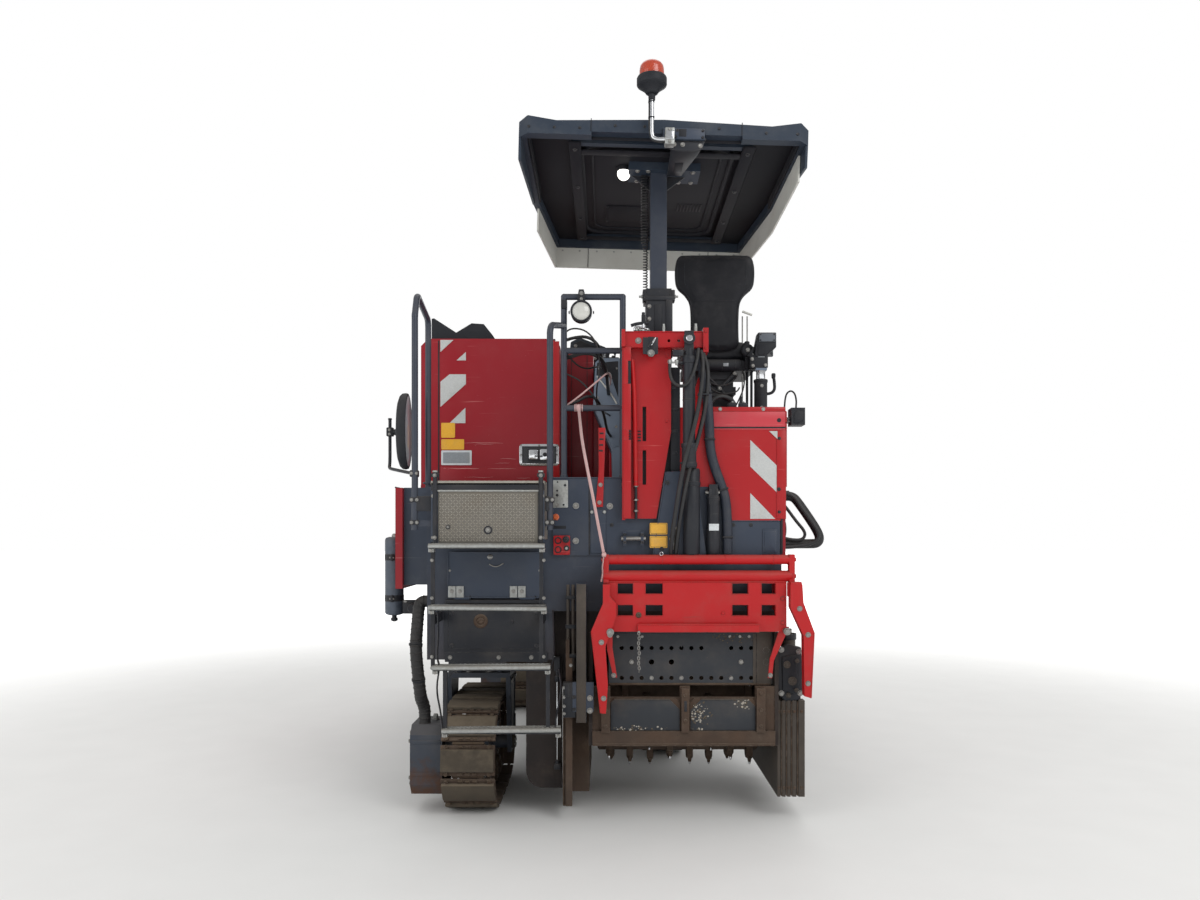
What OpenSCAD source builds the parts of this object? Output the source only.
// Tracked cold planer, about one metre of milling width, seen from behind: +Y is the way it drives.
// Every box is given by its six faces: left, right, rear, front, low, top.
// Rear and front count forward from the rear plate, heights from the ground.

/* [Machine] */
// distance of the rear plate behind the middle of the machine
rear_off = 1960; // [1930:1:1990]
// height of the main frame's top, which carries the deck
frame_top = 1840; // [1800:5:1880]
// thickness of the deck plate
deck_t = 20; // [10:1:30]
// half width of the main frame
frame_half = 950; // [900:5:1000]
// how far the left box of the frame stands out
left_step = 50; // [30:5:60]
// width of the rail over the folding arm
rail_w = 20; // [15:1:115]
// width of the tank beside the frame
tank_w = 150; // [120:5:160]
// thickness of the red side covers
skin_t = 40; // [20:1:50]
// underside of the frame beside the drum and at the front
belly_z = 880; // [860:5:920]
// underside of the frame over the folding track
arch_z = 1350; // [1340:5:1380]
// length of the main frame
frame_len = 4250; // [4100:10:4400]

/* [Tracks] */
// width of a track shoe
track_w = 300; // [250:5:350]
// length over the shoes
track_len = 1200; // [1050:10:1300]
// height over the shoes
track_h = 620; // [560:5:640]
// number of shoes on a loop
shoe_count = 16; // [14:1:44]
// thickness of a shoe
shoe_t = 45; // [30:1:60]
// length of a shoe along the loop
shoe_len = 130; // [50:1:140]
// thickness of the chain under the shoes
belt_t = 28; // [20:1:40]
// distance of the front tracks from the middle plane
front_track_x = 780; // [720:5:800]
// front tracks ahead of the rear plate
front_track_y = 3450; // [3400:10:3550]
// rear left track beside the middle plane
rear_track_x = 765; // [740:5:780]
// rear left track ahead of the rear plate
rear_track_y = 500; // [450:10:600]
// radius of a leg column
leg_r = 85; // [60:1:100]
// thickness of a fork cheek beside the track
cheek_t = 25; // [15:1:30]
// gap between track and fork cheek
cheek_gap = 12; // [8:1:20]

/* [Folding track] */
// pivot of the folding track, right of the middle plane
swing_x = 900; // [880:5:920]
// pivot of the folding track, ahead of the rear plate
swing_y = 1200; // [1180:5:1220]
// folded track left of its pivot
swing_in = 500; // [480:5:520]
// folded track ahead of its pivot
swing_ahead = 650; // [620:5:660]
// radius of the pivot pin
swing_pin_r = 50; // [30:1:60]
// radius of the pivot boss
swing_boss_r = 80; // [70:1:100]
// underside and top of the swing arm
arm_z = [1170, 1330];

/* [Drum] */
// radius over the tool tips
drum_r = 375; // [340:5:390]
// radius of the drum body
drum_body_r = 285; // [250:5:300]
// left end of the drum
drum_left = -60; // [-80:5:-40]
// right end of the drum
drum_right = 900; // [880:5:920]
// drum axis ahead of the rear plate
drum_y = 470; // [440:5:500]
// height of the drum axis
drum_z = 560; // [540:5:600]
// number of tools
tool_count = 60; // [40:1:90]
// turn of the helix from one tool to the next
tool_turn = 47; // [20:1:60]
// radius of the drum shaft
drum_shaft_r = 60; // [40:1:80]

/* [Drum housing] */
// inner faces of the housing's cheeks
housing_in = [-80, 920];
// thickness of the housing's cheeks
housing_t = 20; // [12:1:25]
// front wall of the housing, ahead of the rear plate
housing_front = 960; // [920:5:980]
// top of the housing under the frame
housing_top = 1150; // [1140:5:1160]

/* [Deck and body] */
// left end of the red box under the seat
box_left = 390; // [370:5:410]
// top of the red box
box_top = 2280; // [2200:5:2320]
// right face of the hood
hood_right = -290; // [-310:5:-270]
// rear wall of the hood ahead of the rear plate
hood_rear = 550; // [500:5:600]
// front end of the hood
hood_front = 2610; // [2560:10:2630]
// top of the hood
hood_top_z = 2780; // [2700:5:2800]
// sheet thickness of the hood
hood_t = 15; // [8:1:20]
// gap between moving panels and the frame
panel_gap = 6; // [5:1:8]

/* [Canopy] */
// side of the square mast
mast_w = 92; // [80:1:110]
// mast right of the middle plane
mast_x = 290; // [270:1:300]
// mast ahead of the rear plate
mast_y = 100; // [95:1:110]
// half width of the roof
roof_half = 745; // [700:5:780]
// rear edge of the roof, ahead of the rear plate
roof_rear = -420; // [-440:5:-400]
// front edge of the roof
roof_front = 1340; // [1200:10:1400]
// low edge of the roof at its rear
roof_z = 3590; // [3560:5:3640]
// depth of the roof's rim
roof_h = 84; // [80:1:130]
// fall of the roof towards its front
roof_fall = 1.2; // [0:0.1:3]
// lean of the roof towards the right
roof_lean = 1.7; // [0:0.1:3]
// how far the pale skirt hangs below the rim
skirt_drop = 140; // [80:1:150]

/* [Rails] */
// radius of the handrail tubes
tube_r = 17; // [12:1:22]
// bend radius of the tubes
tube_bend = 60; // [45:1:80]

/* [Hidden] */
rear_y = -rear_off;
deck_z = frame_top + deck_t;
frame_right = frame_half + rail_w;
frame_left = -frame_half - left_step;
tank_left = frame_left - tank_w;
hood_left = tank_left + 3;
box_right = frame_right + 27;
side_left = 0;
side_right = 1;
side_rear = 2;
side_front = 3;
side_low = 4;
side_top = 5;
smooth = 64;
small_fn = 32;
fit = 0.05;
seat = 0.3;
tube_lap = 1;
elbow_swell = 0.4;
loop_r = track_h / 2 - shoe_t;
wheel_half = (track_len - track_h) / 2;
loop_length = 4 * wheel_half + 2 * PI * loop_r;
wheel_r = loop_r - belt_t - seat;
cheek_x = track_w / 2 + cheek_gap;
bridge_z = track_h + 100;
bridge_t = 30;
collar_low = bridge_z + bridge_t + 10;
collar_r = leg_r + 32;
leg_top = 1200;
swing_pin_top = 1600;

function unit(v) = v / norm(v);

// box from its six faces
module slab(f) {
  translate([f[side_left], rear_y + f[side_rear], f[side_low]])
    cube([f[side_right] - f[side_left], f[side_front] - f[side_rear], f[side_top] - f[side_low]]);
}

// round bar between two points
module bar(a, b, r) {
  d = b - a;
  translate([a[0], rear_y + a[1], a[2]])
    rotate([0, acos(d[2] / norm(d)), atan2(d[1], d[0])])
      cylinder(h = norm(d), r = r, $fn = small_fn);
}

// quarter of a tube that turns from direction u into direction w at p
module elbow(p, u, w, r, bend) {
  turn = acos(u * w);
  n = unit(w - (w * u) * u);
  c = p - u * bend * tan(turn / 2) + n * bend;
  z = cross(-n, u);
  multmatrix([[-n[0], u[0], z[0], c[0]], [-n[1], u[1], z[1], c[1] + rear_y],
              [-n[2], u[2], z[2], c[2]], [0, 0, 0, 1]])
    rotate_extrude(angle = turn, $fn = smooth) translate([bend, 0]) circle(r = r, $fn = small_fn);
}

// tube through points with round bends
module bent_tube(pts, r, bend) {
  n = len(pts);
  cut = [for (i = [0 : n - 1]) (i == 0 || i == n - 1) ? 0 :
         bend * tan(acos(unit(pts[i] - pts[i - 1]) * unit(pts[i + 1] - pts[i])) / 2) - tube_lap];
  for (i = [0 : n - 2])
    let (u = unit(pts[i + 1] - pts[i]))
      bar(pts[i] + u * cut[i], pts[i + 1] - u * cut[i + 1], r);
  for (i = [1 : n - 2])
    elbow(pts[i], unit(pts[i] - pts[i - 1]), unit(pts[i + 1] - pts[i]), r + elbow_swell, bend);
}

// tube along X at a place counted from the rear plate
module cross_bar(x0, x1, y, z, r) {
  translate([x0, rear_y + y, z]) rotate([0, 90, 0]) cylinder(h = x1 - x0, r = r, $fn = smooth);
}

module stadium(r) {
  hull() for (s = [-1, 1]) translate([s * wheel_half, 0]) circle(r = r, $fn = smooth);
}

// place and heading of a shoe at a length s round the loop
function shoe_at(s) =
  s < 2 * wheel_half ? [s - wheel_half, -loop_r, 0] :
  s < 2 * wheel_half + PI * loop_r ?
    let (a = (s - 2 * wheel_half) / loop_r * 180 / PI)
      [wheel_half + loop_r * sin(a), -loop_r * cos(a), a] :
  s < 4 * wheel_half + PI * loop_r ?
    [wheel_half - (s - 2 * wheel_half - PI * loop_r), loop_r, 180] :
    let (a = (s - 4 * wheel_half - PI * loop_r) / loop_r * 180 / PI)
      [-wheel_half - loop_r * sin(a), loop_r * cos(a), 180 + a];

// track loop with its shoes, its middle over the origin, standing on the ground
module track_loop() {
  lap = 3;
  translate([-track_w / 2, 0, track_h / 2]) rotate([90, 0, 90]) linear_extrude(track_w)
    difference() {
      intersection() {
        union() {
          stadium(loop_r);
          for (i = [0 : shoe_count - 1])
            let (p = shoe_at((i + 0.5) * loop_length / shoe_count))
              translate([p[0], p[1]]) rotate(p[2])
                translate([-shoe_len / 2, -shoe_t]) square([shoe_len, shoe_t + lap]);
        }
        stadium(track_h / 2);
      }
      stadium(loop_r - belt_t);
    }
}

// frame with wheels, rollers, fork and leg; guard_side is the side of the drive's guard
module carrier(guard_side, leg_end) {
  beam = [70, 190, 140];
  guard = [180, 330, 390];
  guard_low = 110;
  roller_r = 58;
  roller_w = 90;
  hub_r = 55;
  pin_r = 38;
  axle_z = track_h / 2;
  top_skid = 60;
  // beam between the end wheels
  translate([-beam[0], -wheel_half, axle_z - beam[2] / 2]) cube([2 * beam[0], 2 * wheel_half, beam[2]]);
  // drive wheel and idler
  for (s = [-1, 1]) translate([-roller_w / 2, s * wheel_half, axle_z]) rotate([0, 90, 0])
    cylinder(h = roller_w, r = wheel_r, $fn = smooth);
  // rollers on the ground run and a skid on the upper run
  for (k = [-1 : 1]) translate([0, k * wheel_half * 0.55, axle_z - wheel_r + roller_r]) {
    rotate([0, 90, 0]) cylinder(h = 2 * beam[0] + 40, r = roller_r, center = true, $fn = small_fn);
    translate([-beam[0], -roller_r / 2, 0]) cube([2 * beam[0], roller_r, wheel_r - roller_r - beam[2] / 4]);
  }
  translate([-top_skid / 2, -top_skid, axle_z]) cube([top_skid, 2 * top_skid, wheel_r]);
  // fork pin, cheeks and bridge
  translate([-cheek_x - cheek_t, 0, axle_z]) rotate([0, 90, 0])
    cylinder(h = 2 * (cheek_x + cheek_t), r = pin_r, $fn = smooth);
  for (s = [-1, 1]) translate([s * (cheek_x + cheek_t / 2), 0, 0])
    rotate([90, 0, 90]) linear_extrude(cheek_t, center = true)
      polygon([[-hub_r, axle_z - hub_r], [hub_r, axle_z - hub_r], [hub_r * 2.6, bridge_z + bridge_t],
               [-hub_r * 2.6, bridge_z + bridge_t]]);
  translate([-cheek_x - cheek_t, -hub_r * 2.6, bridge_z])
    cube([2 * (cheek_x + cheek_t), hub_r * 5.2, bridge_t]);
  translate([0, 0, bridge_z + bridge_t / 2])
    cylinder(h = leg_end - bridge_z - bridge_t / 2, r = leg_r, $fn = smooth);
  // drive motor guard at the rear end, on one side, with its hub into the drive wheel
  hub_x = guard_side > 0 ? 0 : -track_w / 2 - 20;
  translate([hub_x, -wheel_half, axle_z]) rotate([0, 90, 0])
    cylinder(h = track_w / 2 + 20, r = hub_r * 2, $fn = smooth);
  guard_x = guard_side > 0 ? track_w / 2 + 10 : -track_w / 2 - 10 - guard[0];
  translate([guard_x, -wheel_half - guard[1] / 2, guard_low]) rotate([90, 0, 90])
    linear_extrude(guard[0])
      polygon([[40, 0], [guard[1] - 40, 0], [guard[1], 60], [guard[1], guard[2] - 50],
               [guard[1] - 50, guard[2]], [50, guard[2]], [0, guard[2] - 50], [0, 60]]);
}

module at_front(side) { translate([side * front_track_x, rear_y + front_track_y, 0]) children(); }
module at_rear_left() { translate([-rear_track_x, rear_y + rear_track_y, 0]) children(); }
module at_swing() { translate([swing_x - swing_in, rear_y + swing_y + swing_ahead, 0]) children(); }

// main frame
rear_box_right = -300;
front_box_rear = 2650;
front_box_top = 1500;
nose_cut = 160;
left_box = [frame_left, rear_box_right, 0, front_box_rear, belly_z, frame_top];
drum_box = [rear_box_right, frame_half, 0, housing_front + 40, housing_top, frame_top];
arch_box = [rear_box_right, frame_half, housing_front + 40, front_box_rear, arch_z, frame_top];
right_rail = [frame_half, frame_right, 0, front_box_rear, arch_z, frame_top];
lug_w = 160;
lug_z = [900, 990];
module chassis() {
  color([0.16, 0.19, 0.24]) difference() {
    union() {
      slab(left_box);
      slab(drum_box);
      slab(arch_box);
      slab(right_rail);
      translate([-frame_half, rear_y, 0]) rotate([90, 0, 90]) linear_extrude(2 * frame_half)
        polygon([[front_box_rear, belly_z], [frame_len - nose_cut, belly_z], [frame_len, belly_z + nose_cut],
                 [frame_len, front_box_top], [front_box_rear, front_box_top]]);
      for (s = [-1, 1]) at_front(s) translate([0, 0, collar_low])
        cylinder(h = belly_z - collar_low + 1, r = collar_r, $fn = smooth);
      for (s = [-1, 1]) at_front(s) translate([0, 0, collar_low])
        cylinder(h = bridge_t, r = collar_r + 18, $fn = smooth);
    }
    for (s = [-1, 1]) at_front(s) translate([0, 0, collar_low - 1])
      cylinder(h = leg_top + 5 - collar_low, r = leg_r + fit, $fn = smooth);
    translate([swing_x, rear_y + swing_y, arch_z - 1])
      cylinder(h = swing_pin_top + 5 - arch_z, r = swing_pin_r + fit, $fn = smooth);
  }
}

// dark plate across the rear, under the deck
plate_t = 12;
plate_low = 1460;
// left end of the red skin over the plate and its lower edge
skin_left = 640;
skin_low = 1652;
module rear_plate() {
  lift_base = [[321, 1920], [482, 1925], [546, 1460], [253, 1460]];
  guide = [-166, -112, -140, -86, 560, 1310];
  raised = [rear_box_right, 80, 1890];
  lugs = [90, 186];
  lug_t = 16;
  color([0.16, 0.19, 0.24]) {
    slab([rear_box_right, skin_left, -plate_t, 0, plate_low, frame_top]);
    slab([skin_left - 1, frame_right - plate_t, -plate_t, 0, plate_low, skin_low]);
    slab([raised[0], raised[1], -plate_t, 0, frame_top - 1, raised[2]]);
    for (x = lugs) slab([x, x + lug_t, -plate_t - 40, -plate_t, 1515, 1589]);
    slab([lugs[0], lugs[1] + lug_t, -plate_t - 30, -plate_t, 1540, 1568]);
    translate([0, rear_y - plate_t, 0]) rotate([90, 0, 0]) linear_extrude(46) polygon(lift_base);
    // guide column left of the drum, on two brackets
    slab(guide);
    for (z = [1150, 1250]) slab([guide[0], guide[1], guide[3], 0, z, z + 40]);
    slab([guide[0] - 20, guide[1] + 40, guide[2] - 12, guide[2], 620, 780]);
  }
}

// chequered deck for the operator
landing_rear = -250;
deck_left = hood_right + 10;
module deck() {
  riser_z = [1550, frame_top];
  riser = [-930, -330, landing_rear + 10, 6];
  color([0.5, 0.51, 0.52]) {
    slab([riser[0], riser[1], landing_rear, 0, frame_top, deck_z]);
    slab([riser[0], deck_left, 0, hood_rear - 10, frame_top, deck_z]);
    slab([deck_left, box_left, 0, hood_front, frame_top, deck_z]);
    slab([box_left, frame_right, 460, hood_front, frame_top, deck_z]);
    slab([riser[0], riser[1], riser[2], riser[2] + riser[3], riser_z[0], riser_z[1]]);
    for (x = [riser[0], riser[1] - 12]) slab([x, x + 12, riser[2] + riser[3], 0, riser_z[0], riser_z[1]]);
  }
}

// housing over the drum, open below and behind
module drum_housing() {
  cheek_low = 420;
  guide_rear = -70;
  guide_top = 1040;
  rear_wall_low = 1000;
  // belt case left of the drum and the flap beside it
  case_f = [rear_box_right + 4, housing_in[0] - housing_t + 1, 80, housing_front - 20, 690, housing_top];
  flap = [-455, -252, 62, 74, 150, belly_z];
  flap_r = 100;
  color([0.12, 0.12, 0.13]) {
    translate([case_f[side_left], rear_y, 0]) rotate([90, 0, 90]) linear_extrude(case_f[side_right] - case_f[side_left])
      polygon([[case_f[side_rear], case_f[side_low] + 80], [case_f[side_rear] + 80, case_f[side_low]],
               [case_f[side_front] - 80, case_f[side_low]], [case_f[side_front], case_f[side_low] + 80],
               [case_f[side_front], housing_top], [case_f[side_rear], housing_top]]);
    translate([0, rear_y + flap[side_front], 0]) rotate([90, 0, 0]) linear_extrude(flap[side_front] - flap[side_rear]) {
      translate([flap[side_left], flap[side_low] + flap_r])
        square([flap[side_right] - flap[side_left], flap[side_top] - flap[side_low] - flap_r]);
      translate([flap[side_left] + flap_r, flap[side_low]])
        square([flap[side_right] - flap[side_left] - flap_r, flap_r + 1]);
      translate([flap[side_left] + flap_r, flap[side_low] + flap_r]) circle(r = flap_r, $fn = smooth);
    }
  }
  color([0.3, 0.24, 0.2]) difference() {
    union() {
      for (x = [housing_in[0] - housing_t, housing_in[1]]) {
        slab([x, x + housing_t, 0, housing_front, cheek_low, housing_top]);
        slab([x, x + housing_t, guide_rear, 0, cheek_low, guide_top]);
      }
      slab([housing_in[0], housing_in[1], 0, housing_t, rear_wall_low, housing_top]);
      slab([housing_in[0], housing_in[1], housing_front - housing_t, housing_front, cheek_low, housing_top]);
      slab([housing_in[0], housing_in[1], 0, housing_front - housing_t, housing_top - housing_t, housing_top]);
      slab([swing_x - lug_w / 2, swing_x + lug_w / 2, housing_front, swing_y, lug_z[0], lug_z[1]]);
      translate([swing_x, rear_y + swing_y, lug_z[0]])
        cylinder(h = lug_z[1] - lug_z[0], r = lug_w / 2, $fn = smooth);
    }
    translate([swing_x, rear_y + swing_y, lug_z[0] - 1])
      cylinder(h = lug_z[1] - lug_z[0] + 2, r = swing_pin_r + fit, $fn = smooth);
    cross_bar(housing_in[0] - housing_t - 1, housing_in[1] + housing_t + 1, drum_y, drum_z, drum_shaft_r + fit);
  }
}

// drum with its tool holders and tools wound on in a helix
module milling_drum() {
  tool = [[-52, drum_body_r - 8], [-44, 342], [-18, drum_r - 16], [-4, drum_r], [10, drum_r - 14],
          [30, 338], [50, drum_body_r - 8]];
  tool_w = 38;
  span = drum_right - drum_left - tool_w - 12;
  color([0.35, 0.3, 0.27]) {
    cross_bar(drum_left, drum_right, drum_y, drum_z, drum_body_r);
    cross_bar(housing_in[0] - housing_t, housing_in[1] + housing_t, drum_y, drum_z, drum_shaft_r);
    translate([drum_left + 6, rear_y + drum_y, drum_z])
      for (i = [0 : tool_count - 1])
        translate([i * span / (tool_count - 1), 0, 0]) rotate([i * tool_turn, 0, 0])
          rotate([90, 0, 90]) linear_extrude(tool_w) polygon(tool);
  }
}

// perforated plate behind the drum
perf_f = [10, 823, -30, -10, 750, 1045];
// height of a row, radius and places of its holes
perf_rows = [[948, 12, [0, 1, 2, 3, 4, 5, 6, 7, 8, 11, 12, 13]], [783, 12, [for (i = [0 : 13]) i]],
             [871, 15, [1, 3, 5, 12]]];
perf_start = 81;
perf_pitch = 55;
module scraper_plate() {
  color([0.5, 0.5, 0.5]) difference() {
    slab(perf_f);
    for (row = perf_rows) for (i = row[2])
      translate([perf_start + i * perf_pitch, rear_y + perf_f[side_rear] - 1, row[0]]) rotate([-90, 0, 0])
        cylinder(h = 22, r = row[1], $fn = small_fn);
  }
  color([0.5, 0.5, 0.5]) {
    slab([perf_f[1], perf_f[1] + 90, perf_f[side_rear], 0, 750, 1045]);
    slab([perf_f[0], perf_f[1], perf_f[side_front], 0, 1005, 1045]);
  }
}

// scraper blade frame that slides down behind the drum
scraper_f = [housing_in[0] + seat, housing_in[1] - seat, -64, -36, 420, 742];
module scraper_frame() {
  windows = [[18, 400], [455, 815]];
  window_low = 682;
  beam_top = 500;
  panel_t = 8;
  chamfer = 22;
  rib_t = 30;
  color([0.42, 0.27, 0.17]) {
    difference() {
      slab(scraper_f);
      for (w = windows) slab([w[0], w[1], scraper_f[side_rear] - 1, scraper_f[side_front] + 1, window_low, 743]);
    }
    for (w = windows) translate([0, rear_y + scraper_f[side_rear], 0]) rotate([90, 0, 0]) linear_extrude(panel_t)
      polygon([[w[0], beam_top], [w[1], beam_top], [w[1], 676 - chamfer], [w[1] - chamfer, 676],
               [w[0] + chamfer, 676], [w[0], 676 - chamfer]]);
    slab([scraper_f[side_left], scraper_f[side_right], scraper_f[side_rear] - 20, scraper_f[side_rear], 420, beam_top]);
    slab([407, 449, scraper_f[side_rear] - rib_t, scraper_f[side_rear], beam_top - 5, 735]);
    for (x = [-30, 817]) slab([x, x + 46, scraper_f[side_rear] - rib_t, scraper_f[side_rear], beam_top - 5, 735]);
  }
}

// guards at the two ends of the drum, which ride up and down on the ground
module side_plate_left() {
  color([0.42, 0.27, 0.17]) {
    slab([-240, -206, -60, 930, 90, 570]);
    slab([-206, housing_in[0] - housing_t - seat, 100, 880, 120, 560]);
    slab([-206, -190, -80, -60, 90, 900]);
    slab([-225, -206, -80, 60, 90, 1000]);
  }
}
module side_plate_right() {
  inner = housing_in[1] + housing_t + seat;
  outer = 1090;
  low = 130;
  top = 660;
  rear = -40;
  front = 930;
  runner_h = 40;
  // left and right face of the vertical strips at the rear
  strips = [[inner, 956], [966, 984], [994, 1012], [1022, 1044], [1056, outer]];
  lift = [1020, 70];
  color([0.42, 0.27, 0.17]) {
    slab([inner, 980, rear + 30, front, low, top]);
    slab([inner, outer, rear + 30, rear + 60, low, top]);
    for (x = strips) slab([x[0], x[1], rear, rear + 31, low, top]);
    for (y = [180, 400, 620, 840]) slab([979, outer, y, y + 30, low, top]);
    slab([1060, outer, rear + 59, 870, low, low + runner_h]);
    // its lift cylinder with the foot
    slab([960, 1080, 20, 120, top - 1, top + 90]);
    bar([lift[0], lift[1], top + 80], [lift[0], lift[1], 1010], 40);
    bar([lift[0], lift[1], 1000], [lift[0], lift[1], 1045], 20);
  }
}

module track_rear_left() { color([0.3, 0.25, 0.2]) at_rear_left() track_loop(); }
module track_rear_right() { color([0.3, 0.25, 0.2]) at_swing() track_loop(); }
module track_front_left() { color([0.3, 0.25, 0.2]) at_front(-1) track_loop(); }
module track_front_right() { color([0.3, 0.25, 0.2]) at_front(1) track_loop(); }

module carrier_rear_left() { color([0.2, 0.22, 0.26]) at_rear_left() carrier(-1, belly_z); }
module carrier_front_left() { color([0.2, 0.22, 0.26]) at_front(-1) carrier(-1, leg_top); }
module carrier_front_right() { color([0.2, 0.22, 0.26]) at_front(1) carrier(1, leg_top); }
// folding track's carrier with its arm and pivot pin
module carrier_rear_right() {
  arm_w = 150;
  arm_step = 12;
  reach = norm([swing_in, swing_ahead]);
  color([0.2, 0.22, 0.26]) {
    at_swing() carrier(-1, arm_z[0] + arm_step);
    translate([swing_x, rear_y + swing_y, 0]) {
      translate([0, 0, arm_z[0]]) cylinder(h = arm_z[1] - arm_z[0], r = swing_boss_r, $fn = smooth);
      translate([0, 0, lug_z[0]]) cylinder(h = swing_pin_top - lug_z[0], r = swing_pin_r, $fn = smooth);
      translate([0, 0, lug_z[1] + seat])
        cylinder(h = arm_z[0] - lug_z[1], r = swing_boss_r - 10, $fn = smooth);
      rotate([0, 0, atan2(swing_ahead, -swing_in)]) translate([0, -arm_w / 2, arm_z[0] + arm_step])
        cube([reach, arm_w, arm_z[1] - arm_z[0] - 2 * arm_step]);
    }
    at_swing() translate([0, 0, arm_z[0]]) cylinder(h = arm_z[1] - arm_z[0], r = leg_r + 30, $fn = smooth);
  }
}

// sleeved hoses down to the rear left drive and the hose loop on the right side
module hoses() {
  out = frame_left - 56;
  guard_x = -rear_track_x - 275;
  sleeve = [[frame_left, 60, 1200], [out, 60, 1200], [out, -40, 950], [out + 14, 20, 700],
            [guard_x, 140, 600], [guard_x, 140, 500]];
  loop_y = 250;
  loop_z = [1520, 1800];
  loop = [[frame_right, loop_y, loop_z[1]], [frame_right + 116, loop_y, loop_z[1]],
          [frame_right + 327, loop_y, loop_z[0]], [frame_right, loop_y, loop_z[0]]];
  color([0.06, 0.06, 0.07]) {
    bent_tube(sleeve, 34, 45);
    bent_tube(loop, 28, 60);
  }
}

// treads: left end, right end, height
ladder_treads = [[-930, -330, 1528], [-930, -320, 1205], [-910, -300, 890], [-860, -245, 560]];
ladder_rear = -300;
module ladder() {
  tread_t = 26;
  tread_d = 60;
  post_w = 20;
  post_x = [-932, -358];
  color([0.66, 0.68, 0.68]) {
    for (t = ladder_treads)
      slab([t[0], t[1], ladder_rear, ladder_rear + tread_d, t[2] - tread_t, t[2]]);
    for (x = post_x)
      slab([x, x + post_w, ladder_rear + tread_d, ladder_rear + tread_d + 12, 864, 1550]);
    for (x = [-860, -320])
      slab([x, x + 20, ladder_rear + 15, ladder_rear + 40, 550, 880 - tread_t / 2]);
  }
  color([0.66, 0.68, 0.68]) for (x = post_x)
    slab([x, x + post_w, ladder_rear + tread_d + 12, 0, 1100, 1150]);
}

// flap of the locker behind the ladder, hinged at its lower edge
flap_f = [-880, -360, -30, -18, 1225, 1480];
flap_hinge = [-24, 1225];
flap_pin_r = 5;
flap_barrel_r = 11;
flap_hinges = [-840, -480];
flap_hinge_w = 80;
flap_notch = 9;
module locker_flap() {
  color([0.2, 0.26, 0.34]) difference() {
    union() {
      slab(flap_f);
      for (x = flap_hinges) cross_bar(x, x + flap_hinge_w, flap_hinge[0], flap_hinge[1], flap_barrel_r);
    }
    for (x = flap_hinges) {
      cross_bar(x - 1, x + flap_hinge_w + 1, flap_hinge[0], flap_hinge[1], flap_pin_r + fit);
      for (e = [x - flap_notch, x + flap_hinge_w])
        slab([e, e + flap_notch, flap_f[side_rear] - 1, flap_f[side_front] + 1, flap_hinge[1] - 1,
              flap_hinge[1] + flap_barrel_r + 1]);
    }
  }
}
module handrails() {
  rail_y = 20;
  post_x = [-240, 88];
  rail_x = frame_left - 20;
  near_x = -303;
  color([0.15, 0.16, 0.18]) {
    bent_tube([[rail_x, -222, 1600], [rail_x, -222, 2740], [rail_x, -165, 2864], [rail_x, 135, 2795],
               [rail_x, 135, frame_top]], tube_r, 42);
    bent_tube([[near_x, -216, 1600], [near_x, -216, 2690], [post_x[0], rail_y, 2740]], tube_r, tube_bend);
    for (z = [2280, 2600, 2900]) cross_bar(post_x[0], post_x[1], rail_y, z, tube_r);
    for (x = post_x) bar([x, rail_y, deck_z], [x, rail_y, 2900], tube_r);
    for (x = post_x) translate([x, rear_y + rail_y, 2900]) sphere(r = tube_r + elbow_swell, $fn = small_fn);
    slab([rail_x + 5, -930, -232, -212, 1620, 1650]);
    slab([-330, near_x, -232, -212, 1620, 1650]);
  }
}

// engine hood, a shell hinged along its lower left edge
hood_f = [hood_left, hood_right, hood_rear, hood_front, frame_top + panel_gap, hood_top_z];
hinge_x = hood_left - 16;
hinge_z = deck_z + 20;
hinge_r = 14;
hinge_pin_r = 8;
hinge_w = 100;
hinge_ys = [700, 2350];
vent_y = [1000, 2200];
vent_z = [2150, 2600];
slat_count = 11;
module engine_hood() {
  chamfer = 45;
  w = hood_right - hood_left;
  h = hood_top_z - hood_f[side_low];
  color([0.62, 0.08, 0.09]) difference() {
    union() {
      translate([hood_left, rear_y + hood_front, hood_f[side_low]]) rotate([90, 0, 0])
        linear_extrude(hood_front - hood_rear)
          polygon([[0, 0], [w, 0], [w, h - chamfer], [w - chamfer, h], [chamfer, h], [0, h - chamfer]]);
      for (y = hinge_ys) translate([hinge_x, rear_y + y, hinge_z]) rotate([-90, 0, 0])
        cylinder(h = hinge_w, r = hinge_r, $fn = small_fn);
      for (y = hinge_ys) slab([hinge_x, hood_left + 2, y, y + hinge_w, hinge_z, hinge_z + hinge_r]);
    }
    translate([hood_left, rear_y + hood_front - hood_t, hood_f[side_low] - 1]) rotate([90, 0, 0])
      linear_extrude(hood_front - hood_rear - 2 * hood_t)
        polygon([[hood_t, 0], [w - hood_t, 0], [w - hood_t, h - chamfer], [w - chamfer, h - hood_t],
                 [chamfer, h - hood_t], [hood_t, h - chamfer]]);
    for (y = hinge_ys) translate([hinge_x, rear_y + y - 1, hinge_z]) rotate([-90, 0, 0])
      cylinder(h = hinge_w + 2, r = hinge_pin_r + fit, $fn = small_fn);
    // air openings in the left side
    slab([hood_left - 1, hood_left + hood_t + 1, vent_y[0], vent_y[1], vent_z[0], vent_z[1]]);
  }
}
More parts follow.
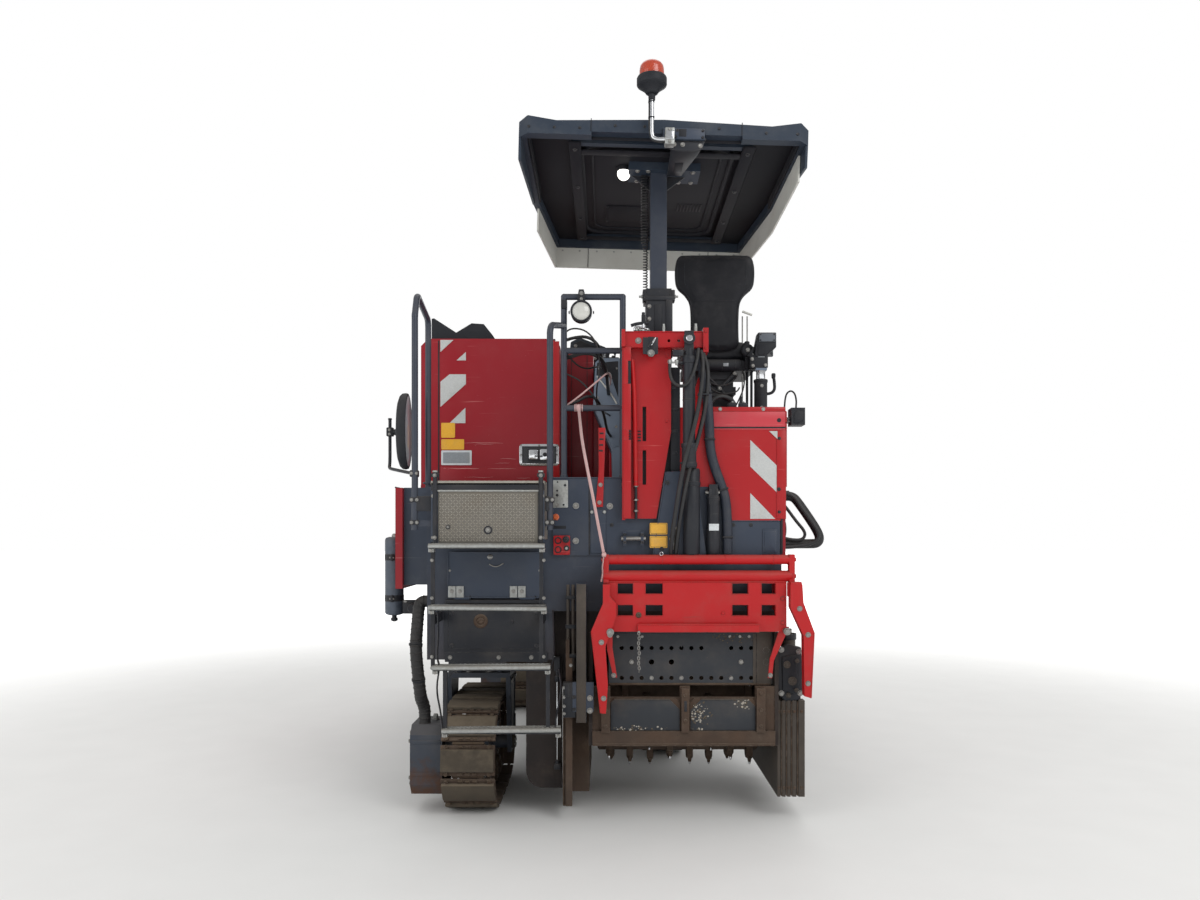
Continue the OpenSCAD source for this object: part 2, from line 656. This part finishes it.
// pins and ears that carry the hood
module hinge_pins() {
  ear_t = 14;
  foot_z = frame_top - 60;
  color([0.16, 0.19, 0.24]) for (y = hinge_ys) {
    translate([hinge_x, rear_y + y - ear_t - 1, hinge_z]) rotate([-90, 0, 0])
      cylinder(h = hinge_w + 2 * ear_t + 2, r = hinge_pin_r, $fn = small_fn);
    for (e = [y - ear_t - 1, y + hinge_w + 1]) {
      translate([hinge_x, rear_y + e, hinge_z]) rotate([-90, 0, 0])
        cylinder(h = ear_t, r = hinge_r, $fn = small_fn);
      slab([hinge_x - hinge_r, hinge_x + 9, e, e + ear_t, foot_z, hinge_z]);
      slab([hinge_x - hinge_r, tank_left, e, e + ear_t, foot_z, frame_top - 10]);
    }
  }
  flap_ear_t = 6;
  color([0.66, 0.68, 0.68]) for (x = flap_hinges) {
    cross_bar(x - flap_ear_t - 1, x + flap_hinge_w + flap_ear_t + 1, flap_hinge[0], flap_hinge[1], flap_pin_r);
    for (e = [x - flap_ear_t - 1, x + flap_hinge_w + 1]) {
      slab([e, e + flap_ear_t, flap_hinge[0] - flap_pin_r, 0, flap_hinge[1] - 18, flap_hinge[1] - 1]);
      cross_bar(e, e + flap_ear_t, flap_hinge[0], flap_hinge[1], flap_barrel_r - 1);
    }
  }
}

// red cowl right of the hood, over the pumps
cowl_top = 2770;
module cowl() {
  cap = [[20, -1], [35, 150], [97, 182], [283, 112], [250, -1]];
  cowl_w = 188;
  cap_len = 1200;
  color([0.62, 0.08, 0.09]) slab([hood_right + 12, hood_right + 12 + cowl_w, 970, hood_front, deck_z, cowl_top]);
  color([0.1, 0.1, 0.11]) translate([hood_right, rear_y + hood_front - 100, cowl_top]) rotate([90, 0, 0])
    linear_extrude(cap_len) polygon(cap);
}

// black crest on the hood and the louvres in its side
module hood_grilles() {
  crest = [[54, 0], [54, 137], [69, 140], [207, 51], [303, 109], [379, 104], [435, 34], [457, 0]];
  crest_len = 1300;
  pitch = (vent_z[1] - vent_z[0]) / slat_count;
  color([0.1, 0.1, 0.11]) {
    translate([hood_left, rear_y + hood_rear + 60 + crest_len, hood_top_z]) rotate([90, 0, 0])
      linear_extrude(crest_len) polygon(crest);
    for (i = [0 : slat_count - 1])
      translate([hood_left + 2, rear_y + vent_y[0], vent_z[0] + (i + 0.3) * pitch]) rotate([0, -35, 0])
        cube([4, vent_y[1] - vent_y[0], pitch * 0.8]);
    for (y = [vent_y[0], (vent_y[0] + vent_y[1]) / 2 - 10, vent_y[1] - 20])
      slab([hood_left + 4, hood_left + 11, y, y + 20, vent_z[0], vent_z[1]]);
  }
}

module engine_block() {
  color([0.3, 0.3, 0.3]) slab([hood_left + 147, hood_left + 507, 900, 2100, frame_top, 2330]);
}

// red box behind the seat
module right_box() {
  r = 25;
  seam_z = 2190;
  color([0.62, 0.08, 0.09]) difference() {
    translate([0, rear_y + 450, 0]) rotate([90, 0, 0]) linear_extrude(450 + plate_t)
      polygon([[box_left, frame_top], [box_right, frame_top], [box_right, box_top - r],
               [box_right - r, box_top], [box_left, box_top]]);
    slab([box_left + 180, box_right + 1, -plate_t - 1, -plate_t + 6, seam_z, seam_z + 8]);
  }
  color([0.62, 0.08, 0.09]) slab([skin_left, frame_right - seat, -plate_t, 0, skin_low, frame_top]);
}

module seat_base() {
  rod_x = [862, 889];
  fold_h = 46;
  low = box_top + 60;
  color([0.1, 0.1, 0.11]) {
    slab([420, 900, 460, 1000, deck_z, low]);
    // bellows
    for (i = [0 : 4]) let (in = (i % 2) * 14)
      slab([560 + in, 790 - in, 520 + in, 880 - in, low + i * fold_h, low + (i + 1) * fold_h]);
    slab([480, 898, 480, 900, low + 5 * fold_h, 2630]);
    for (x = rod_x) bar([x, 540, low], [x, 540, 2620], 8);
  }
}
module seat() {
  back = [[500, 2700], [820, 2700], [815, 2990], [830, 3030], [885, 3080], [900, 3130], [900, 3230],
          [870, 3275], [440, 3275], [415, 3235], [415, 3130], [430, 3080], [480, 3030], [505, 2990]];
  back_t = 90;
  color([0.09, 0.09, 0.1]) {
    hull() {
      slab([430, 890, 480, 930, 2650, 2740]);
      slab([450, 870, 500, 910, 2630, 2762]);
    }
    translate([0, rear_y + 550, 0]) rotate([90, 0, 0]) linear_extrude(back_t) polygon(back);
  }
}

// console left of the operator and the display on its post
module controls() {
  console = [[-87, 2369], [-72, 2640], [-40, 2666], [80, 2666], [80, deck_z], [34, deck_z], [28, 2101]];
  post = [922, 400];
  head = [[902, 2776], [1007, 2776], [1007, 2692], [942, 2637], [882, 2637], [887, 2700]];
  color([0.35, 0.37, 0.4]) {
    translate([0, rear_y + 960, 0]) rotate([90, 0, 0]) linear_extrude(380) polygon(console);
    bar([post[0], post[1], box_top], [post[0], post[1], 2502], 38);
    bar([post[0], post[1], 2495], [post[0], post[1], 2562], 17);
    slab([888, 955, 370, 430, 2555, 2640]);
    translate([0, rear_y + 437, 0]) rotate([90, 0, 0]) linear_extrude(75) polygon(head);
  }
}

// red frame that carries the conveyor's lifting gear
lift_bolts = [338, 391];
lift_bolt_r = 8;
lift_pin = [443, 2633];
lift_pin_r = 20;
module a_frame() {
  front = [[88, 1663], [272, 1663], [317, 1925], [353, 2140], [353, 2598], [88, 2598]];
  beam = [80, 540, -90, -plate_t, 2597, 2683];
  end_t = 29;
  slots = [196, 216, 190];
  color([0.62, 0.08, 0.09]) difference() {
    union() {
      slab([83, 100, beam[side_rear], -plate_t, 1655, 2600]);
      translate([0, rear_y - plate_t, 0]) rotate([90, 0, 0]) linear_extrude(28) polygon(front);
      slab(beam);
      slab([523, 523 + end_t, beam[side_rear] - 20, -plate_t, 2568, 2700]);
      slab([80, 100, beam[side_rear] - 20, -plate_t, 2598, 2692]);
    }
    translate([lift_pin[0], rear_y + beam[side_rear] - 1, lift_pin[1]]) rotate([-90, 0, 0])
      cylinder(h = 92, r = lift_pin_r, $fn = small_fn);
    for (x = lift_bolts) translate([x, rear_y + beam[side_rear] - 1, lift_pin[1]]) rotate([-90, 0, 0])
      cylinder(h = 92, r = lift_bolt_r, $fn = small_fn);
    for (z = [1850, 2090]) slab([slots[0], slots[1], -60, 0, z, z + slots[2]]);
  }
}

module lift_cylinders() {
  y = -136;
  x = lift_pin[0];
  low = [583, -56];
  low_r = 34;
  color([0.08, 0.08, 0.09]) {
    bar([x, y, 2040], [x, y, 2540], 34);
    bar([x, y, 1935], [x, y, 2060], 40);
    bar([x, y, 2530], [x, y, 2580], 24);
    slab([x - 25, x + 25, y - 14, y + 14, 2565, 2675]);
    translate([x, rear_y - 25, lift_pin[1]]) rotate([90, 0, 0])
      cylinder(h = 140, r = lift_pin_r - fit, $fn = small_fn);
    bar([low[0], low[1], 1460], [low[0], low[1], 1790], low_r);
    slab([low[0] - 23, low[0] + 23, -80, -30, 1780, 1850]);
    slab([low[0] - 13, low[0] + 13, -50, -plate_t, 1500, 1800]);
  }
}

module hose_duct() {
  band = [[486, 2597], [520, 2597], [520, 2564], [552, 2480], [578, 2320], [590, 2060], [620, 1960],
          [676, 1790], [692, 1470], [638, 1470], [626, 1780], [614, 1858], [566, 1930], [538, 2070],
          [528, 2320], [506, 2460]];
  color([0.14, 0.19, 0.28])
    translate([0, rear_y - plate_t - 8, 0]) rotate([90, 0, 0]) linear_extrude(30) polygon(band);
  color([0.14, 0.19, 0.28]) for (clip = [[595, 1900], [645, 1500]])
    slab([clip[0], clip[0] + 20, -plate_t - 10, -plate_t, clip[1], clip[1] + 40]);
}

// receiving bracket of the discharge conveyor
module conveyor_bracket() {
  windows = [[58, 140], [209, 301], [678, 764], [837, 912]];
  rows = [[1137, 1194], [1255, 1311]];
  bar_end = 1000;
  ends = [-20, 985];
  end_t = 30;
  horn_left = [[-22, 1309], [16, 1309], [16, 1244], [49, 1207], [49, 1137], [-8, 975], [5, 770],
               [-5, 619], [-30, 619], [-86, 1056], [-22, 1207]];
  horn_right = [[981, 1309], [1045, 1309], [1051, 1212], [1110, 1050], [1094, 700], [1056, 711],
                [1051, 1034], [981, 1185]];
  link_right = [[990, 1075], [940, 1075], [884, 900], [874, 797], [896, 797], [905, 890]];
  link_left = [[0, 1075], [30, 1075], [30, 960], [55, 800], [35, 800], [0, 950]];
  horn_t = 60;
  color([0.62, 0.08, 0.09]) {
    difference() {
      slab([ends[0], 972, -130, -100, 1050, 1320]);
      for (w = windows) for (r = rows) slab([w[0], w[1], -140, -90, r[0], r[1]]);
    }
    for (x = [0, 915]) for (z = [[1160, 1320], [1424, 1454]]) slab([x, x + end_t, -102, 0, z[0], z[1]]);
    cross_bar(ends[0], bar_end, -115, 1440, 26);
    cross_bar(ends[0], bar_end, -115, 1350, 31);
    for (x = ends) slab([x, x + end_t, -141, -89, 1316, 1468]);
    slab([165, 820, -160, -129, 1050, 1092]);
    for (h = [horn_left, horn_right])
      translate([0, rear_y - 130, 0]) rotate([90, 0, 0]) linear_extrude(horn_t) polygon(h);
    for (h = [link_left, link_right])
      translate([0, rear_y - 103, 0]) rotate([90, 0, 0]) linear_extrude(14) polygon(h);
  }
}

// canopy post, mast and roof
head_low = 12;
roof_end = roof_front - mast_y;
taper_y = 420;
rim_t = 12;
clamp_t = 10;
// half width of the roof at a place along it
function side_x(y) = roof_half - max(0, y - taper_y) / (roof_end - taper_y) * 80;
module in_roof() {
  translate([mast_x, rear_y + mast_y, roof_z]) rotate([-roof_fall, roof_lean, 0]) children();
}
post_w = mast_w + 50;
post_top = 2950;
module canopy_post() {
  bore = mast_w + 12;
  collar = 60;
  pad = mast_w + 2 * seat;
  color([0.16, 0.19, 0.24]) translate([mast_x, rear_y + mast_y, deck_z]) difference() {
    translate([-post_w / 2, -post_w / 2, 0]) cube([post_w, post_w, post_top - deck_z]);
    translate([-bore / 2, -bore / 2, collar]) cube([bore, bore, post_top - deck_z - 2 * collar]);
    translate([-pad / 2, -pad / 2, collar]) cube([pad, pad, post_top - deck_z]);
  }
}
module canopy_mast() {
  mast_low = 2400;
  color([0.1, 0.1, 0.11]) difference() {
    translate([mast_x - mast_w / 2, rear_y + mast_y - mast_w / 2, mast_low])
      cube([mast_w, mast_w, roof_z + roof_h - mast_low]);
    in_roof() translate([-roof_half, -roof_half, head_low - seat]) cube([2 * roof_half, 2 * roof_half, roof_h * 2]);
  }
}
module canopy_roof() {
  inset = 40;
  hollow = 60;
  rear = roof_rear - mast_y;
  corner = 50;
  middle = [-370, 400];
  middle_up = 17;
  edge = [[-roof_half, 0], [roof_half, 0], [roof_half, roof_h - 6], [roof_half - 45, roof_h + 8],
          [550, roof_h - 14], [0, roof_h + 4], [-550, roof_h - 14], [-roof_half + 45, roof_h + 8],
          [-roof_half, roof_h - 6]];
  rib = 40;
  color([0.14, 0.17, 0.22]) in_roof() difference() {
    union() {
      intersection() {
        translate([0, roof_end, 0]) rotate([90, 0, 0]) linear_extrude(roof_end - rear) polygon(edge);
        translate([0, 0, -1]) linear_extrude(2 * roof_h)
          polygon([[-roof_half, rear + corner], [-roof_half + corner, rear], [roof_half - corner, rear],
                   [roof_half, rear + corner], [roof_half, taper_y], [side_x(roof_end), roof_end],
                   [-side_x(roof_end), roof_end], [-roof_half, taper_y]]);
      }
      // dark side rims that hang lower at the rear
      for (s = [-1, 1]) translate([s > 0 ? roof_half - rim_t : -roof_half, 0, 0]) rotate([90, 0, 90])
        linear_extrude(rim_t) polygon([[rear + corner, 1], [rear + corner + 10, -112], [taper_y, -8], [taper_y, 1]]);
      // plate for the lamp's clamp
      translate([-6, rear - clamp_t, -16]) cube([209, clamp_t + 1, 60]);
    }
    translate([0, 0, -2]) linear_extrude(hollow + 2)
      polygon([[-roof_half + inset, rear + inset + 20], [roof_half - inset, rear + inset + 20],
               [roof_half - inset, taper_y], [side_x(roof_end) - inset, roof_end - inset],
               [-side_x(roof_end) + inset, roof_end - inset], [-roof_half + inset, taper_y]]);
    translate([middle[0], rear - clamp_t - 1, -20]) cube([-6 - middle[0], inset + clamp_t + 22, 20 + middle_up]);
    translate([203, rear - clamp_t - 1, -20]) cube([middle[1] - 203, inset + clamp_t + 22, 20 + middle_up]);
  }
  // head plate on the mast and the ribs of the underside
  color([0.1, 0.1, 0.11]) in_roof() {
    translate([-170, -90, head_low]) cube([400, 180, hollow - head_low + 1]);
    for (x = [-480, 440]) translate([x, -360, hollow - 30]) cube([rib, 1480, 31]);
    for (y = [-360, 1080]) translate([-480, y, hollow - 30]) cube([960, rib, 31]);
  }
}

// pale outer skirt along the sides and the front
module roof_skirt() {
  t = 10;
  gap = rim_t + 3;
  front = [roof_end - 12 - t, 4];
  // side, then the places along the skirt
  skirts = [[-1, [500, roof_end - 15]], [1, [-350, taper_y, roof_end - 15]]];
  color([0.8, 0.8, 0.78]) in_roof() {
    for (k = skirts) translate([0, 0, -skirt_drop]) linear_extrude(skirt_drop - seat)
      polygon(concat([for (y = k[1]) [k[0] * (side_x(y) - gap), y]],
                     [for (i = [len(k[1]) - 1 : -1 : 0]) [k[0] * (side_x(k[1][i]) - gap - t), k[1][i]]]));
    translate([-side_x(roof_end) + gap - 5, front[0], front[1] - skirt_drop])
      cube([2 * (side_x(roof_end) - gap + 5), t, skirt_drop - front[1] - seat]);
  }
}

module beacon() {
  at = [226, rear_y - 462, 3796];
  base_h = 86;
  dome_h = 60;
  stem_r = 11;
  color([0.95, 0.45, 0.08]) translate(at) {
    translate([0, 0, base_h]) cylinder(h = dome_h, r = 62, $fn = smooth);
    translate([0, 0, base_h + dome_h]) cylinder(h = 14, r1 = 62, r2 = 46, $fn = smooth);
  }
  color([0.08, 0.08, 0.09]) {
    translate(at) {
      translate([0, 0, base_h / 2]) cylinder(h = base_h / 2, r = 76, $fn = smooth);
      cylinder(h = base_h / 2, r1 = 36, r2 = 76, $fn = smooth);
    }
    bent_tube([[226, -462, at[2] + 5], [226, -462, 3570], [310, -462, 3570]], stem_r, 28);
    in_roof() translate([5, roof_rear - mast_y - clamp_t - seat - 45, -60]) cube([44, 45, 78]);
  }
}

module mirror() {
  half_d = 95;
  half_h = 215;
  head_w = 55;
  mid = [60, 2155];
  head_x = tank_left - 19;
  rod_x = tank_left - 70;
  rail_end = [frame_left - 28, -205, 1900];
  color([0.08, 0.08, 0.09]) {
    translate([head_x, rear_y + mid[0], mid[1]]) rotate([90, 0, 90]) linear_extrude(head_w)
      polygon([for (a = [0 : 22.5 : 337.5]) [half_d * cos(a), half_h * sin(a)]]);
    bent_tube([[rod_x, mid[0], 2220], [rod_x, mid[0], 1945], rail_end], 9, 25);
    bar([rod_x, mid[0], 2150], [head_x + 12, mid[0], 2150], 14);
  }
}

module side_canister() {
  r = 56;
  x = tank_left - skin_t - r - 6;
  clamp_y = [270, 330];
  color([0.45, 0.47, 0.49]) {
    bar([x, 300, 1100], [x, 300, 1560], r);
    slab([x, frame_left, clamp_y[0], clamp_y[1], 1180, 1220]);
    slab([x, tank_left - skin_t, clamp_y[0], clamp_y[1], 1420, 1460]);
  }
}

module work_lamps() {
  color([0.08, 0.08, 0.09]) {
    slab([box_right, box_right + 24, 10, 50, 2200, 2225]);
    slab([box_right + 20, box_right + 95, -40, 60, 2180, 2275]);
    translate([-142, rear_y + 3, 2804]) rotate([90, 0, 0]) cylinder(h = 40, r = 58, $fn = smooth);
    slab([-150, -134, -10, 3, 2804, 2900]);
    for (s = [-1, 1]) {
      translate([s * 700, rear_y + frame_len + 10, 1940]) rotate([-90, 0, 0])
        cylinder(h = 60, r = 70, $fn = smooth);
      slab([s * 700 - 90, s * 700 + 90, frame_len, frame_len + 12, 1850, 2030]);
    }
  }
}

// front body over the tanks, with its sloping top
module front_hood() {
  w = frame_half + 50;
  top = 2330;
  color([0.62, 0.08, 0.09]) difference() {
    intersection() {
      translate([-w, rear_y, 0]) rotate([90, 0, 90]) linear_extrude(2 * w)
        polygon([[front_box_rear, front_box_top], [frame_len, front_box_top], [frame_len, 1840 + 200],
                 [frame_len - 90, 2130], [front_box_rear, top]]);
      translate([0, rear_y + frame_len + 1, 0]) rotate([90, 0, 0]) linear_extrude(frame_len - front_box_rear + 2)
        polygon([[-w, front_box_top], [w, front_box_top], [w, 2060], [w - 130, top + 1], [-w + 130, top + 1],
                 [-w, 2060]]);
    }
    slab([grille_f[0], grille_f[1], frame_len - 60, frame_len + 1, grille_f[4], grille_f[5]]);
  }
}
grille_f = [-480, 480, 0, 0, 1560, 1960];
grille_slats = 9;
module front_grille() {
  pitch = (grille_f[5] - grille_f[4]) / grille_slats;
  color([0.1, 0.1, 0.11]) {
    for (i = [0 : grille_slats - 1])
      translate([grille_f[0] + 5, rear_y + frame_len - 42, grille_f[4] + (i + 0.15) * pitch]) rotate([25, 0, 0])
        cube([grille_f[1] - grille_f[0] - 10, 5, pitch * 0.75]);
    for (x = [grille_f[0], -10, grille_f[1] - 20])
      slab([x, x + 20, frame_len - 52, frame_len - 40, grille_f[4], grille_f[5]]);
  }
}

module front_bumper() {
  color([0.16, 0.19, 0.24]) difference() {
    union() {
      slab([-frame_half, frame_half, frame_len, frame_len + 70, belly_z - 60, 1250]);
      for (s = [-1, 1]) slab([s * 500 - 25, s * 500 + 25, frame_len, frame_len + 170, 900, 1020]);
    }
    for (s = [-1, 1]) cross_bar(s * 500 - 26, s * 500 + 26, frame_len + 125, 960, 25);
  }
}

module side_tanks() {
  color([0.16, 0.19, 0.24]) {
    translate([tank_left, rear_y, 0]) rotate([90, 0, 90]) linear_extrude(tank_w)
      polygon([[100, 1290], [front_box_rear - 200, 1290], [front_box_rear, 1390],
               [front_box_rear, frame_top], [100, frame_top]]);
  }
}
// red covers on both sides, with the gaps between their doors
module side_skins() {
  door_gap = 8;
  splits = [900, 1750];
  color([0.62, 0.08, 0.09]) {
    difference() {
      translate([tank_left - skin_t, rear_y, 0]) rotate([90, 0, 90]) linear_extrude(skin_t)
        polygon([[60, 1270], [front_box_rear - 200, 1270], [front_box_rear, 1370],
                 [front_box_rear, frame_top - 70], [hood_rear + 100, frame_top - 70],
                 [hood_rear + 40, frame_top - 2], [60, frame_top - 2]]);
      for (y = splits) slab([tank_left - skin_t - 1, tank_left - skin_t + 10, y, y + door_gap, 1200, 1850]);
    }
    difference() {
      slab([frame_right, frame_right + 22, 0, front_box_rear, 1440, frame_top]);
      slab([frame_right - 1, frame_right + 23, 170, 330, 1480, 1840 - 10]);
      for (y = splits) slab([frame_right + 14, frame_right + 23, y, y + door_gap, 1400, 1850]);
    }
  }
}

chassis();
rear_plate();
deck();
drum_housing();
milling_drum();
scraper_plate();
scraper_frame();
side_plate_left();
side_plate_right();
track_rear_left();
track_rear_right();
track_front_left();
track_front_right();
carrier_rear_left();
carrier_rear_right();
carrier_front_left();
carrier_front_right();
hoses();
ladder();
locker_flap();
handrails();
engine_hood();
hood_grilles();
engine_block();
hinge_pins();
cowl();
right_box();
seat_base();
seat();
controls();
a_frame();
lift_cylinders();
hose_duct();
conveyor_bracket();
canopy_post();
canopy_mast();
canopy_roof();
roof_skirt();
beacon();
mirror();
side_canister();
work_lamps();
front_hood();
front_grille();
front_bumper();
side_tanks();
side_skins();
